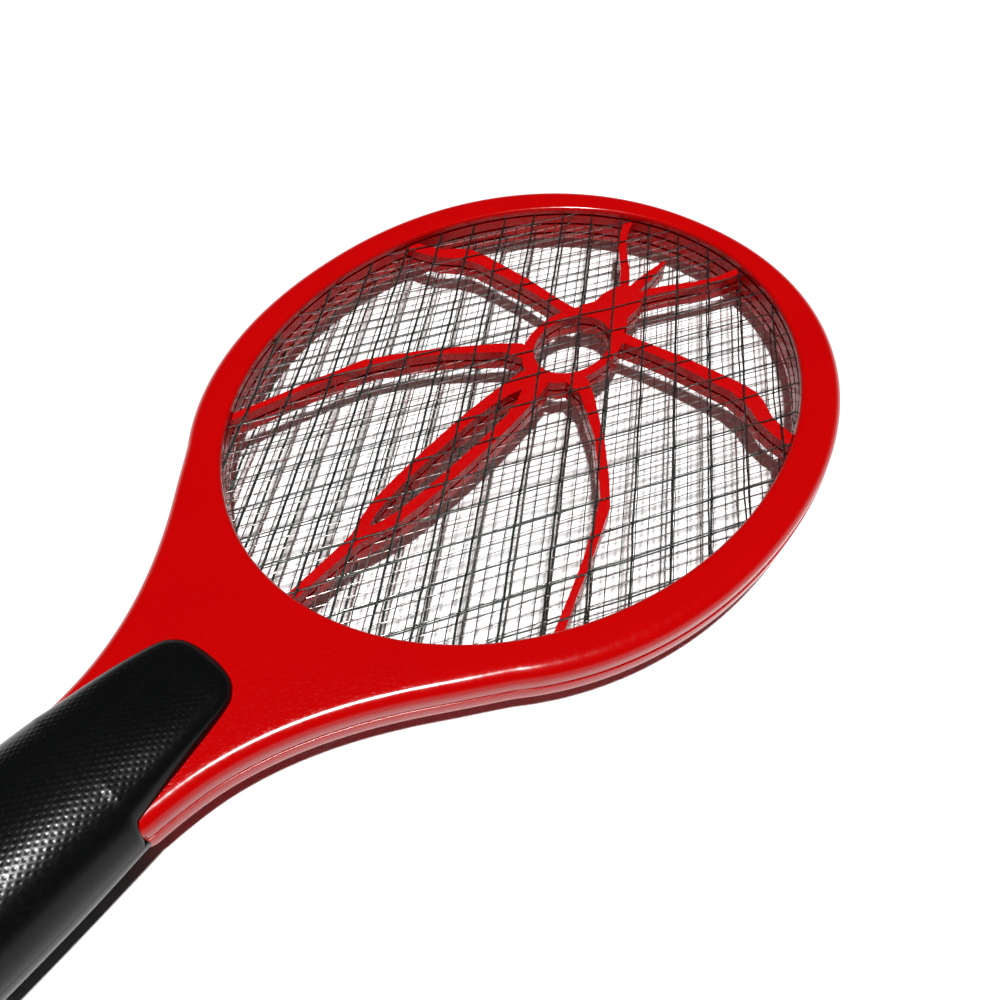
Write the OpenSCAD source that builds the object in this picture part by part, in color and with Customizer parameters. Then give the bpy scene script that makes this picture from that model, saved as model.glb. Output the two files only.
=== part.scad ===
// Electric fly swatter: an oval racket head with two coarse outer grids and a
// fine middle grid, mosquito-shaped spacers between them, and a battery handle.
// +Y runs from the butt to the head's tip, +Z is the front face, z = 0 is the table.

/* [Overall] */
// Length from the butt to the head's tip
total_l = 452; // [446:1:460]
// Height of the head's back face above the table
head_lift = 4; // [3.5:0.5:4.5]
// Thickness of the head over both shells
head_t = 13; // [12.5:0.5:13.5]

/* [Head] */
// Half width of the ring
head_half_w = 85.8; // [84:0.2:88]
// Half length of the ring
head_half_l = 101.5; // [100:0.5:103]
// Half width of the grid opening
open_half_w = 75.2; // [74:0.2:76]
// Half length of the grid opening
open_half_l = 93; // [92:0.5:93.5]
// Wall of the two red shells
shell_wall = 2; // [1.8:0.1:2.2]

/* [Grids] */
// Distance between neighbouring wires of the outer grids
coarse_pitch = 10; // [9:0.5:11]
// Wire size of the outer grids
coarse_wire = 0.8; // [0.6:0.1:0.8]
// Distance between neighbouring wires of the middle grid
fine_pitch = 3.35; // [3:0.05:4]
// Wire size of the middle grid
fine_wire = 0.4; // [0.3:0.05:0.4]
// Angle of every wire from the racket's long axis
wire_angle = 30.7; // [28:0.1:33]

/* [Handle] */
// Wall of the black grip shells
grip_wall = 2.2; // [2:0.1:2.4]
// Travel of the push button and its switch
button_travel = 1.2; // [1:0.1:1.4]
// Diameter of one AA cell
cell_d = 14.5; // [14:0.1:14.5]
// Length of one AA cell
cell_l = 50.5; // [49:0.5:50.5]

/* [Hidden] */

eps = 0.01;
gap = 0.02;                              // seat clearance between stacked pieces
head_y = total_l / 2 - head_half_l;      // centre of the ring
open_dy = -1.2;                          // the opening sits a little low in the ring
head_n = 2.11;                           // fullness of the ring's outline
front_z = head_lift + head_t;            // front face of the head
mid_z = head_lift + head_t / 2;          // plane of the middle grid
part_z = mid_z + 0.5;                    // parting plane of all the shells
side_round = [4.2, 3.2];                 // rounding of the front edge, inwards and down
back_round = [4.2, 3.6];
corner_r = 5;                            // rounded end corners of the neck

// stack of the head, from the middle outwards
fine_half = fine_wire + gap;             // half height of the middle grid
spacer_t = 2.85;
front_spacer_z = mid_z + fine_half + gap;
front_grid_z = front_spacer_z + spacer_t + gap;
front_lip_z = front_grid_z + coarse_wire + gap;
back_spacer_z = mid_z - fine_half - gap - spacer_t;
back_grid_z = back_spacer_z - gap - coarse_wire;
back_lip_z = back_grid_z - gap;
rim_w = 4;                               // width of the spacer's rim under the lip
lip_w = 2.2;
grid_over = 3.4;                         // how far a grid reaches under the lip

// neck: half width and distance from the ring's centre, hand-picked stations
neck_end = -155;
neck_line = [[19.0, -162], [19.3, neck_end + corner_r], [20.9, -138], [23.8, -128],
    [28.2, -118], [34.0, -108], [41.1, -98], [49.2, -88], [57.3, -78], [65.8, -68]];

// handle: value at each distance from the ring's centre
butt_y = -total_l + head_half_l;
dome_l = 16;
dome_y = butt_y + dome_l;
door_y = -254;
grip_front = -152;
grip_w_at = [[dome_y, 18.2], [-300, 19.3], [-260, 20.6], [-220, 21.0], [-180, 20.3],
    [-160, 19.6], [-150, 19.2]];
crown_at = [[dome_y, 23.6], [-300, 25.2], [-260, 26.4], [-220, 26.8], [-180, 26.2],
    [-165, 25.8], [-155, 25.2], [-145, 24.2], [-136, 22.9], [-128, 21.6], [-121.5, 20.4],
    [-118.6, 19.3], [-117.2, 18]];
belly_at = [[dome_y, 0], [-172, 0], [-163, 0.8], [-155, 2.6], [-149, 4]];
tongue_at = [[-158, 18.4], [-150, 17.0], [-144.8, 16.1], [-136.8, 14.8], [-126.8, 13.0],
    [-122, 11.7], [-120.2, 10.4], [-118.5, 8.3], [-117.6, 5.8], [-117.2, 3.2]];
back_tongue_at = [[-156, 17], [-148, 15], [-140, 13.2], [-134, 11], [-131.5, 8], [-131, 5.5]];
upper_n = 2.4;
lower_n = 2.6;
flat_cut = 0.3;                          // the belly is cut flat by this much

// handle contents
board_z = 7.2;
board_t = 1.6;
top_z = board_z + board_t;               // component side of the board
board_y = [-240, -178];
board_post_x = 13.2;
board_post_y = [-190.75, -230];
button_y = -199;
button_size = [11, 18];
led_y = -216;
led_r = 1.5;
cell_z = 10.4;
cell_x = cell_d / 2 + 0.35;
cells_y = [-320, -320 + cell_l];
tray_y = [cells_y[0] - 5.5, cells_y[1] + 2.5];
tray_x = 15.8;
tray_z = 8.2;
lead_r = 0.6;
lead_x = 12;
clip_x = 7;
strip_t = 0.3;                           // sheet of the contact strips
contact_z = mid_z - fine_half - gap;     // underside of the middle grid
lead_z = contact_z + gap + lead_r;
screw_r = 0.8;
head_h = 1.2;                            // height of a screw head
seat_low = 3.2;                          // under the heads of the handle's screws
seat_neck = 3.0;                         // the same for the screws through the neck

// ring screws as angles from the tip, neck screws as points
ring_screw_angles = [27, 72, 117, -27, -72, -117];
neck_screws = [[27, -112], [-27, -112]];
grip_screw_points = [[9, -143], [-9, -143], [11.5, -169], [-11.5, -169], [0, -247]];

red = "#c4060c";
black = "#161616";
steel = "#8c918c";

// ---------- functions ----------
function spow(v, p) = sign(v) * pow(abs(v), p);
function segment(tab, y) =
    max([for (i = [0:len(tab) - 2]) if (tab[i][0] <= y || i == 0) i]);
function slope(tab, i) = let (a = max(i - 1, 0), b = min(i + 1, len(tab) - 1))
    (tab[b][1] - tab[a][1]) / (tab[b][0] - tab[a][0]);
// smooth value of a table of [y, value] pairs
function at(tab, y) = let (i = segment(tab, y), h = tab[i + 1][0] - tab[i][0],
    t = max(0, min(1, (y - tab[i][0]) / h)), t2 = t * t, t3 = t2 * t)
    (2 * t3 - 3 * t2 + 1) * tab[i][1] + (t3 - 2 * t2 + t) * h * slope(tab, i)
    + (3 * t2 - 2 * t3) * tab[i + 1][1] + (t3 - t2) * h * slope(tab, i + 1);
// Catmull-Rom point between p[i] and p[i + 1]
function spline(p, i, t) = 0.5 * (2 * p[i] + (p[i + 1] - p[i - 1]) * t
    + (2 * p[i - 1] - 5 * p[i] + 4 * p[i + 1] - p[i + 2]) * t * t
    + (3 * p[i] - p[i - 1] - 3 * p[i + 1] + p[i + 2]) * t * t * t);
function ring_point(a) = [head_half_w * spow(sin(a), 2 / head_n),
    head_half_l * spow(cos(a), 2 / head_n)];
neck_join = acos(-pow(78 / head_half_l, head_n / 2));
function right_side(arc_steps, ring_steps) = concat(
    [for (i = [0:2]) [(neck_line[1][0] - corner_r) * i / 3, neck_end]],
    [for (i = [0:4]) neck_line[1] + corner_r * [sin(i * 22.5) - 1, -cos(i * 22.5)]],
    [for (i = [1:7], k = [0:arc_steps - 1]) if (i + k > 1) spline(neck_line, i, k / arc_steps)],
    [for (i = [0:ring_steps - 1]) ring_point(neck_join * (1 - i / ring_steps))],
    [[0, head_half_l]]);
function closed(right) = concat(right,
    [for (i = [len(right) - 2:-1:1]) [-right[i][0], right[i][1]]]);
outline = closed(right_side(2, 26));
function out_normal(p, i) = let (n = len(p), d = p[(i + 1) % n] - p[(i + n - 1) % n])
    [d[1], -d[0]] / norm(d);
function inset(p, d) = [for (i = [0:len(p) - 1]) p[i] - d * out_normal(p, i)];
// the opening's ellipse, at the angles where the outline's points lie
function opening(d) = [for (q = outline)
    let (a = atan2(q[0] / open_half_w, (q[1] - open_dy) / open_half_l))
    [(open_half_w + d) * sin(a), (open_half_l + d) * cos(a) + open_dy]];
function level(p, z) = [for (q = p) [q[0], q[1], z]];

// one section of a grip half, up (dir 1) or down (dir -1) from the parting plane
function half_section(y, w, h, dir, n, floor_z) = [for (i = [0:18]) let (a = i * 10)
    [dir * w * spow(cos(a), 2 / n), y,
     max(floor_z, part_z + dir * h * spow(sin(a), 2 / n))]];
// the butt's rounding: 1 along the handle, falling to 0 at the end; t is the wall to leave
function dome(y, t) = y >= dome_y ? 1 : sqrt(max(0, 1 - pow((dome_y - y) / (dome_l - t), 2)));
function stations(a, b, n) = [for (i = [0:n]) a + (b - a) * i / n];
function dome_stations(t) = [for (i = [1:4]) dome_y - (dome_l - t) * sin(i * 21)];
function upper(y, t) = half_section(y, (at(grip_w_at, y) - t) * dome(y, t),
    (at(crown_at, y) - part_z - t) * dome(y, t), 1, upper_n, 0);
function lower(y, t) = half_section(y, (at(grip_w_at, y) - t) * dome(y, t),
    (part_z - at(belly_at, y) + flat_cut - t) * dome(y, t), -1, lower_n, at(belly_at, y) + t);
// tongue that lies on the neck: a boxy arch from base to the crown
function arch(y, w, base, h) = [for (i = [0:20]) let (a = i * 9)
    [w * spow(cos(a), 2 / 3.2), y, base + h * spow(sin(a), 2 / 3.2)]];
function boss_point(a) = [(open_half_w + rim_w + 2.4) * sin(a),
    (open_half_l + rim_w + 2.4) * cos(a) + open_dy];
ring_screws = [for (a = ring_screw_angles) boss_point(a)];
frame_screw_points = concat(ring_screws, neck_screws);
function screw_seat(p) = p[1] > neck_end ? seat_neck : seat_low;

// ---------- building blocks ----------
module placed() { translate([0, head_y, 0]) children(); }

// closed loops joined one to the next and back to the first: a solid ring
module ring_loft(loops) {
    n = len(loops[0]);
    m = len(loops);
    polyhedron(points = [for (l = loops) each l],
        faces = [for (j = [0:m - 1], i = [0:n - 1], k = [0, 1])
            let (a = j * n + i, b = j * n + (i + 1) % n,
                 c = ((j + 1) % m) * n + (i + 1) % n, d = ((j + 1) % m) * n + i)
            k == 0 ? [a, c, b] : [a, d, c]], convexity = 10);
}

// sections joined in order and closed at both ends
module loft(sections) {
    n = len(sections[0]);
    m = len(sections);
    polyhedron(points = [for (s = sections) each s],
        faces = concat([[for (i = [0:n - 1]) i]],
            [for (j = [0:m - 2], i = [0:n - 1], k = [0, 1])
                let (a = j * n + i, b = j * n + (i + 1) % n, c = b + n, d = a + n)
                k == 0 ? [a, c, b] : [a, d, c]],
            [[for (i = [n - 1:-1:0]) (m - 1) * n + i]]), convexity = 10);
}

// round wire swept along points that run mostly along Y
module wire_path(points, r) {
    loft([for (p = points) [for (k = [0:9]) p + r * [cos(k * 36), 0, -sin(k * 36)]]]);
}
module box(x, y, z) {
    translate([x[0], y[0], z[0]])
        cube([x[1] - x[0], y[1] - y[0], z[1] - z[0]]);
}
module oval_plate(d, z0, z1) {
    translate([0, open_dy, z0])
        scale([open_half_w + d, open_half_l + d, 1])
            cylinder(r = 1, h = z1 - z0, $fn = 180);
}
module post(p, r, z0, z1) {
    translate([p[0], p[1], z0]) cylinder(r = r, h = z1 - z0, $fn = 16);
}
// screw post with a gusset that ties it to the nearest wall
module boss(p, r, z0, z1) {
    post(p, r, z0, z1);
    hull() {
        post(p, 0.5, z0 + 1, z1);
        post([p[0] + sign(p[0]) * 2.9, p[1]], 0.5, z0 + 1, z1);
    }
}
// square post, wider at its foot
module tapered(p, foot, tip, z0, z1) {
    hull() {
        box([p[0] - foot, p[0] + foot], [p[1] - foot, p[1] + foot], [z0, z0 + 0.5]);
        box([p[0] - tip, p[0] + tip], [p[1] - tip, p[1] + tip], [z1 - 0.5, z1]);
    }
}

// ---------- head ----------
module front_frame() {
    color(red)
    difference() {
        union() {
            ring_loft(concat(
                [level(outline, part_z)],
                [for (i = [0:3]) level(inset(outline, side_round[0] * (1 - cos(i * 30))),
                    front_z - side_round[1] * (1 - sin(i * 30)))],
                [level(opening(1.3), front_z), level(opening(0.4), front_z - 0.35),
                 level(opening(0), front_z - 1.2), level(opening(0), front_lip_z),
                 level(opening(lip_w), front_lip_z), level(opening(lip_w), front_z - shell_wall),
                 level(inset(outline, shell_wall + 0.4), front_z - shell_wall),
                 level(inset(outline, shell_wall), part_z)]));
            for (p = frame_screw_points) boss(p, 1.9, part_z, front_z - shell_wall + eps);
            for (p = grip_screw_points)
                if (p[1] > neck_end) post(p, 2.6, part_z, front_z - shell_wall + eps);
        }
        for (p = frame_screw_points)
            translate([p[0], p[1], part_z - 1]) cylinder(r = screw_r, h = 4.5, $fn = 16);
        for (p = grip_screw_points)
            if (p[1] > neck_end)
                translate([p[0], p[1], part_z - 1]) cylinder(r = 1.3, h = head_t, $fn = 16);
        box([-6, 6], [neck_end - 1, neck_end + 4], [part_z - 2, part_z + 2.4]);
    }
}

module back_frame() {
    color(red)
    difference() {
        union() {
            ring_loft(concat(
                [level(inset(outline, shell_wall), part_z - gap),
                 level(inset(outline, shell_wall + 0.4), head_lift + shell_wall),
                 level(opening(lip_w), head_lift + shell_wall), level(opening(lip_w), back_lip_z),
                 level(opening(0), back_lip_z), level(opening(0), head_lift + 1.2),
                 level(opening(0.4), head_lift + 0.35), level(opening(1.3), head_lift)],
                [for (i = [3:-1:0]) level(inset(outline, back_round[0] * (1 - cos(i * 30))),
                    head_lift + back_round[1] * (1 - sin(i * 30)))],
                [level(outline, part_z - gap)]));
            for (p = frame_screw_points) boss(p, 1.9, head_lift + 1, part_z - gap);
            for (p = grip_screw_points)
                if (p[1] > neck_end) post(p, 2.6, head_lift + 1, part_z - gap);
        }
        for (p = frame_screw_points) translate([p[0], p[1], 0]) {
            cylinder(r = 1.05, h = part_z, $fn = 16);
            cylinder(r = 1.75, h = head_lift + 1.5, $fn = 16);
        }
        for (p = grip_screw_points)
            if (p[1] > neck_end) translate([p[0], p[1], 0]) cylinder(r = 1.3, h = part_z, $fn = 16);
        box([-6, 6], [neck_end - 1, neck_end + 4], [part_z - 2.4, part_z + 1]);
    }
}

// parallel bars at both slants, fused where they cross and trimmed to an oval
module lattice(node_at, z, d) {
    count = ceil((open_half_l + grid_over) / coarse_pitch);
    intersection() {
        oval_plate(d, z, z + coarse_wire);
        for (side = [-1, 1], i = [-count:count])
            translate([node_at[0], node_at[1], z])
                rotate([0, 0, side * wire_angle])
                    translate([i * coarse_pitch - coarse_wire / 2, -2 * open_half_l, 0])
                        cube([coarse_wire, 4 * open_half_l, coarse_wire]);
    }
}
module front_grid() { color(steel) lattice([0.4, 45.4], front_grid_z, grid_over); }
module back_grid() { color(steel) lattice([4.2, 41], back_grid_z, grid_over); }

// half length of the chord that a wire makes across the oval, and its middle
function chord(i, side, a, b) = let (n = [cos(wire_angle), side * sin(wire_angle)],
    u = [-n[1], n[0]], o = n * i * fine_pitch,
    qa = pow(u[0] / a, 2) + pow(u[1] / b, 2),
    qb = 2 * (o[0] * u[0] / (a * a) + o[1] * u[1] / (b * b)),
    qc = pow(o[0] / a, 2) + pow(o[1] / b, 2) - 1, disc = qb * qb - 4 * qa * qc)
    disc <= 0 ? [o, u, 0] : [o - u * qb / (2 * qa), u, sqrt(disc) / (2 * qa)];
module fine_layer(side, z) {
    a = open_half_w + grid_over;
    b = open_half_l + grid_over;
    count = floor(sqrt(pow(a * cos(wire_angle), 2) + pow(b * sin(wire_angle), 2)) / fine_pitch);
    for (i = [-count:count]) {
        c = chord(i, side, a, b);
        if (c[2] > 4)
            translate([c[0][0], c[0][1] + open_dy, z])
                rotate([0, 0, atan2(c[1][1], c[1][0])])
                    rotate([0, 90, 0])
                        translate([0, 0, -c[2]])
                            cylinder(r = fine_wire / 2, h = 2 * c[2], $fn = 16);
    }
}
module middle_grid() {
    color("#c9ccc9") {
        fine_layer(1, mid_z + fine_wire / 2 + gap);
        fine_layer(-1, mid_z - fine_wire / 2 - gap);
    }
}

// right half of the mosquito: legs, proboscis, head and abdomen outlines
front_leg = [[2, 57], [4.5, 56.5], [9.2, 64], [13.4, 69.5], [17.6, 75], [20.2, 80],
    [23.2, 88], [20.6, 88.5], [17.6, 80.5], [15, 76.2], [11, 70.8], [6.6, 65.4], [3, 60]];
middle_leg = [[9, 32], [12, 34], [20, 35.4], [30, 36.1], [48, 36.2], [54, 34.4], [60, 30.6],
    [66, 28.4], [73.8, 27.2], [73.2, 31.4], [68, 32.6], [62.5, 34.4], [57.5, 38.6],
    [54, 40.8], [48, 41.2], [30, 40.4], [15, 38.4], [9, 38]];
rear_leg = [[6.5, 9.5], [14.2, 7.6], [27.2, -3.8], [35.2, -13.6], [41, -21], [44.8, -30],
    [48.8, -40], [52, -50], [56.6, -65], [58.8, -63.8], [54, -50], [51, -40], [47.2, -29],
    [44.6, -21.6], [38.8, -13.6], [30.8, -3.8], [17.8, 9.6], [12.4, 14.2], [9.8, 14.5]];
head_lump = [[-9, 40], [-6.3, 44.8], [-6.4, 50], [-5.2, 55], [-3, 58.2], [3, 58.2], [5.2, 55],
    [6.4, 50], [6.3, 44.8], [9, 40]];
proboscis = [[-2, 57], [2, 57], [1.7, 66], [0.5, 76.5], [-0.5, 76.5], [-1.7, 66]];
abdomen = [[0, 7], [4.6, 5], [5.3, 0], [6.2, -10], [6.7, -22], [6.5, -38], [6, -50], [5.1, -60],
    [3.4, -66], [1.8, -71], [1.4, -80], [1.3, -97], [0, -97]];
abdomen_slot = [[0, -1.5], [1.6, -6], [2.8, -12], [3.3, -22], [3.2, -38], [2.9, -50],
    [2.2, -58], [1.2, -63], [0, -66]];
function both(half) = concat(half, [for (i = [len(half) - 2:-1:1]) [-half[i][0], half[i][1]]]);
// what the mosquito leaves standing in the opening, cut from a tall slab
module bar(points) { linear_extrude(spacer_t + 4) polygon(points); }
module thorax() {
    difference() {
        union() {
            translate([0, 24.5, 0]) scale([13, 20, 1]) cylinder(r = 1, h = spacer_t + 4, $fn = 72);
            bar(head_lump);
        }
        translate([0, 23.8, -1]) scale([10.3, 14.4, 1]) cylinder(r = 1, h = spacer_t + 6, $fn = 72);
    }
}
module mosquito() {
    for (side = [0, 1]) mirror([side, 0, 0]) {
        bar(front_leg);
        bar(middle_leg);
        bar(rear_leg);
    }
    thorax();
    bar(proboscis);
    difference() {
        bar(both(abdomen));
        translate([0, 0, -1]) scale([1, 1, 2]) bar(both(abdomen_slot));
    }
}
module spacer(z) {
    difference() {
        oval_plate(rim_w, z, z + spacer_t);
        difference() {
            oval_plate(0, z - 1, z + spacer_t + 1);
            translate([0, 0, z - 2]) mosquito();
        }
    }
}
// each rim is notched beside the strip that brings its grid's voltage
module notched_spacer(z, side) {
    difference() {
        spacer(z);
        box([side * clip_x - 1.4, side * clip_x + 1.4], [-110, -95.3], [0, front_z]);
    }
}
module front_spacer() { color(red) notched_spacer(front_spacer_z, 1); }
module back_spacer() { color(red) notched_spacer(back_spacer_z, -1); }

// pan head with a cross recess, shank up into the front boss
module screw(p, head_z, head_r, shank_r, tip_z) {
    translate([p[0], p[1], head_z]) difference() {
        union() {
            cylinder(r = head_r, h = head_h, $fn = 24);
            cylinder(r = shank_r, h = tip_z - head_z, $fn = 24);
        }
        for (a = [0, 90]) rotate([0, 0, a])
            translate([-head_r * 0.6, -0.2, -1]) cube([head_r * 1.2, 0.4, 1.6]);
    }
}
module frame_screws() {
    color("#b9bcc0")
    for (p = frame_screw_points)
        screw(p, head_lift + 1.5 - head_h - gap, 1.6, screw_r - 0.03, part_z + 3);
}

// ---------- handle shells ----------
module neck_room() {
    loft([level(inset(outline, -0.12), 0), level(inset(outline, -0.12), front_z + gap)]);
}
module grip_cavity_upper() {
    loft(concat([for (y = stations(-157.6, dome_y, 13)) upper(y, grip_wall)],
        [for (y = dome_stations(grip_wall)) upper(y, grip_wall)]));
}
module front_grip() {
    color(black)
    difference() {
        union() {
            difference() {
                loft(concat([for (y = stations(grip_front, dome_y, 16)) upper(y, 0)],
                    [for (y = dome_stations(0)) upper(y, 0)]));
                translate([0, 0, -eps]) grip_cavity_upper();
            }
            loft([for (t = last_to_first(tongue_at))
                arch(t[0], t[1], front_z + gap, at(crown_at, t[0]) - front_z - gap)]);
            for (p = grip_screw_points) if (p[1] < neck_end)
                post(p, 2.6, part_z, at(crown_at, p[1]) - (abs(p[0]) > 5 ? 4.6 : 1.8));
            for (s = [-1, 1]) door_rail(s);
            for (s = [-1, 1], y = board_post_y)
                tapered([s * board_post_x, y], 0.9, 1.4, top_z + gap, 22);
            for (s = [-1, 1], y = [-300, -280])
                tapered([s * 11, y], 0.8, 1.4, 18.9, 23);
            button_collar();
        }
        neck_room();
        for (p = grip_screw_points)
            translate([p[0], p[1], part_z - 2])
                cylinder(r = screw_r + 0.15, h = p[1] > neck_end ? 13 : 9, $fn = 16);
        box([-6, 6], [-158, neck_end], [part_z - 2, part_z + 2.4]);
        translate([0, button_y, 20]) oval_prism(button_size + [0.6, 0.6], 10);
        translate([0, led_y, 20]) cylinder(r = led_r + 0.1, h = 10, $fn = 24);
    }
}
function last_to_first(list) = [for (i = [len(list) - 1:-1:0]) list[i]];
// the battery door runs between these rails and the shell
module door_rail(s) {
    box([s * 17.2 - 1, s * 17.2 + 1], [-298, -258], [part_z + 0.4, part_z + 1.6]);
    box([s * 16.6 - 0.4, s * 16.6 + 0.4], [-298, -258], [part_z - 1.4, part_z + 1.6]);
}
module oval_prism(size, h) {
    linear_extrude(h)
        for (s = [-1, 1]) {
            translate([0, s * (size[1] - size[0]) / 2]) circle(d = size[0], $fn = 32);
            square([size[0], size[1] - size[0]], center = true);
        }
}
// raised rim inside the shell that guides the button
module button_collar() {
    difference() {
        translate([0, button_y, 23.5]) oval_prism(button_size + [3, 3], 1.6);
        translate([0, button_y, 23]) oval_prism(button_size + [0.6, 0.6], 3);
    }
}

module lower_shell(y0, y1, with_dome) {
    difference() {
        loft(concat([for (y = stations(y0, y1, 8)) lower(y, 0)],
            with_dome ? [for (y = dome_stations(0)) lower(y, 0)] : []));
        translate([0, 0, eps])
            loft(concat([for (y = stations(min(y0 + 1, -157.6), y1 - (with_dome ? 0 : 1), 8))
                lower(y, grip_wall)],
                with_dome ? [for (y = dome_stations(grip_wall)) lower(y, grip_wall)] : []));
    }
}
module back_grip() {
    color(black)
    difference() {
        union() {
            translate([0, 0, -gap]) intersection() {
                lower_shell(grip_front, door_y + 0.1, false);
                box([-40, 40], [-300, -100], [gap, 40]);
            }
            loft([for (t = last_to_first(back_tongue_at))
                let (depth = min(1.6, 0.9 + (-131 - t[0]) * 0.1))
                [for (q = arch(t[0], t[1], 0, 1)) [-q[0], q[1], head_lift - gap - depth * q[2]]]]);
            for (p = grip_screw_points) if (p[1] < neck_end)
                post(p, 2.6, 0.5, part_z - gap);
            for (s = [-1, 1], y = board_post_y)
                tapered([s * 12, y], 1.8, 1.2, 1, board_z - gap);
            for (s = [-1, 1], y = [-204, -216])
                tapered([s * 8, y], 1.6, 1, 1, board_z - gap);
        }
        translate([0, 0, head_lift - gap]) loft([level(inset(outline, -0.12), 0),
            level(inset(outline, -0.12), 20)]);
        for (p = grip_screw_points) translate([p[0], p[1], -1]) {
            cylinder(r = 1.3, h = 20, $fn = 16);
            cylinder(r = 2.5, h = screw_seat(p) + 1, $fn = 16);
        }
        box([-6, 6], [-158, neck_end + 0.5], [part_z - 2.4, part_z + 2]);
    }
}
module grip_screws() {
    color("#b9bcc0")
    for (p = grip_screw_points)
        screw(p, screw_seat(p) - head_h - gap, 2.1, screw_r + 0.1,
            p[1] > neck_end ? front_z + 4.5 : part_z + 6);
}
module battery_door() {
    color(black)
    difference() {
        union() {
            translate([0, 0, -gap]) intersection() {
                lower_shell(door_y - 0.1, dome_y, true);
                box([-40, 40], [-400, -100], [gap, 40]);
            }
            box([-8, 8], [door_y - 4, door_y - 0.3], [1, 2.9]);
            box([-8, 8], [door_y - 4, door_y + 2.2], [2.3, 2.9]);
        }
        for (i = [0:8]) thumb_groove(door_y - 14 - 2.4 * i);
    }
}
module thumb_groove(y) {
    hull() {
        box([-6, 6], [y - 0.8, y + 0.8], [-1, 0]);
        box([-5.6, 5.6], [y - 0.2, y + 0.2], [0, 0.6]);
    }
}

// ---------- button, switch and lamp ----------
module push_button() {
    crown = at(crown_at, button_y);
    color("#c4060c")
    translate([0, button_y, 0]) {
        translate([0, 0, 22.4]) oval_prism(button_size, crown + 0.5 - 22.4);
        translate([0, 0, crown + 0.5 - eps]) oval_prism(button_size - [1.4, 1.4], 0.6);
        translate([0, 0, 22.2]) oval_prism(button_size + [2.4, 2.4], 1.2);
        translate([0, 0, 17.35]) cylinder(r = 2.5, h = 5, $fn = 32);
    }
}
module switch_body() {
    color("#2a2a2c")
    translate([0, button_y, 0]) difference() {
        box([-4, 4], [-4, 4], [top_z + gap, top_z + 4]);
        translate([0, 0, top_z + 0.5]) cylinder(r = 1.75, h = 10, $fn = 32);
    }
}
module switch_plunger() {
    color("#d8d8d0")
    translate([0, button_y, top_z + 0.5 + button_travel + 0.2])
        cylinder(r = 1.7, h = 17.3 - (top_z + 0.7 + button_travel), $fn = 32);
}
module indicator_led() {
    crown = at(crown_at, led_y);
    color("#d03020")
    translate([0, led_y, crown - 4]) {
        cylinder(r = led_r, h = 3.6, $fn = 32);
        translate([0, 0, 3.6]) sphere(led_r, $fn = 32);
        translate([0, 0, -0.8]) cylinder(r = led_r + 0.35, h = 1, $fn = 32);
    }
}
module led_leads() {
    color(steel)
    for (s = [-1, 1])
        translate([s * 0.9, led_y, top_z + gap])
            cylinder(r = 0.25, h = at(crown_at, led_y) - 4.8 - gap - top_z - gap, $fn = 16);
}

// ---------- circuit ----------
module circuit_board() {
    color("#2f6b3a")
    box([-14.5, 14.5], board_y, [board_z, top_z]);
}
transformer_c = [-4.5, -227];
module transformer_core() {
    color("#3a3a3c")
    translate([transformer_c[0], transformer_c[1], top_z + gap]) difference() {
        box([-7, 7], [-6, 6], [0, 11]);
        for (s = [-1, 1]) box([s * 3.55 - 1.75, s * 3.55 + 1.75], [-7, 7], [2.2, 8.8]);
    }
}
module transformer_coil() {
    color("#b5762e")
    translate([transformer_c[0], transformer_c[1], top_z + gap]) difference() {
        box([-5.2, 5.2], [-8.4, 8.4], [2.3, 8.7]);
        box([-1.85, 1.85], [-6.05, 6.05], [0, 10]);
    }
}
module transistor() {
    color("#1c1c1e")
    translate([9.5, -224, top_z + gap]) {
        box([-3, 3], [-1.6, 1.6], [3, 10]);
        for (i = [-1:1]) translate([i * 1.9, 0, 0]) cylinder(r = 0.3, h = 3.2, $fn = 16);
    }
}
module axial(p, r, l, lead) {
    translate([p[0], p[1], top_z + gap]) {
        translate([0, -l / 2, r + 0.1]) rotate([-90, 0, 0]) cylinder(r = r, h = l, $fn = 24);
        translate([0, -lead / 2, r + 0.1]) rotate([-90, 0, 0]) cylinder(r = 0.3, h = lead, $fn = 16);
        for (s = [-1, 1]) translate([0, s * lead / 2, 0])
            cylinder(r = 0.4, h = r + 0.6, $fn = 16);
    }
}
module rectifier_diodes() {
    color("#202022")
    for (i = [0:2]) axial([6.2 + i * 3.2, -184.6], 1.3, 5.2, 8.6);
}
module resistors() {
    color("#c9b48a")
    for (p = [[8, -212.5], [11.4, -212.5], [8.8, -233.5]]) axial(p, 1.1, 6, 9.4);
}
module film_capacitors() {
    color("#8e2f24")
    for (s = [-1, 1])
        box([s * 9.6 - 3, s * 9.6 + 3], [button_y - 6.5, button_y + 6.5], [top_z + gap, top_z + 9.5]);
}
module storage_capacitor() {
    color("#b0602c")
    box([-13, 1.5], [-189, -181.5], [top_z + gap, top_z + 11]);
}

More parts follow.
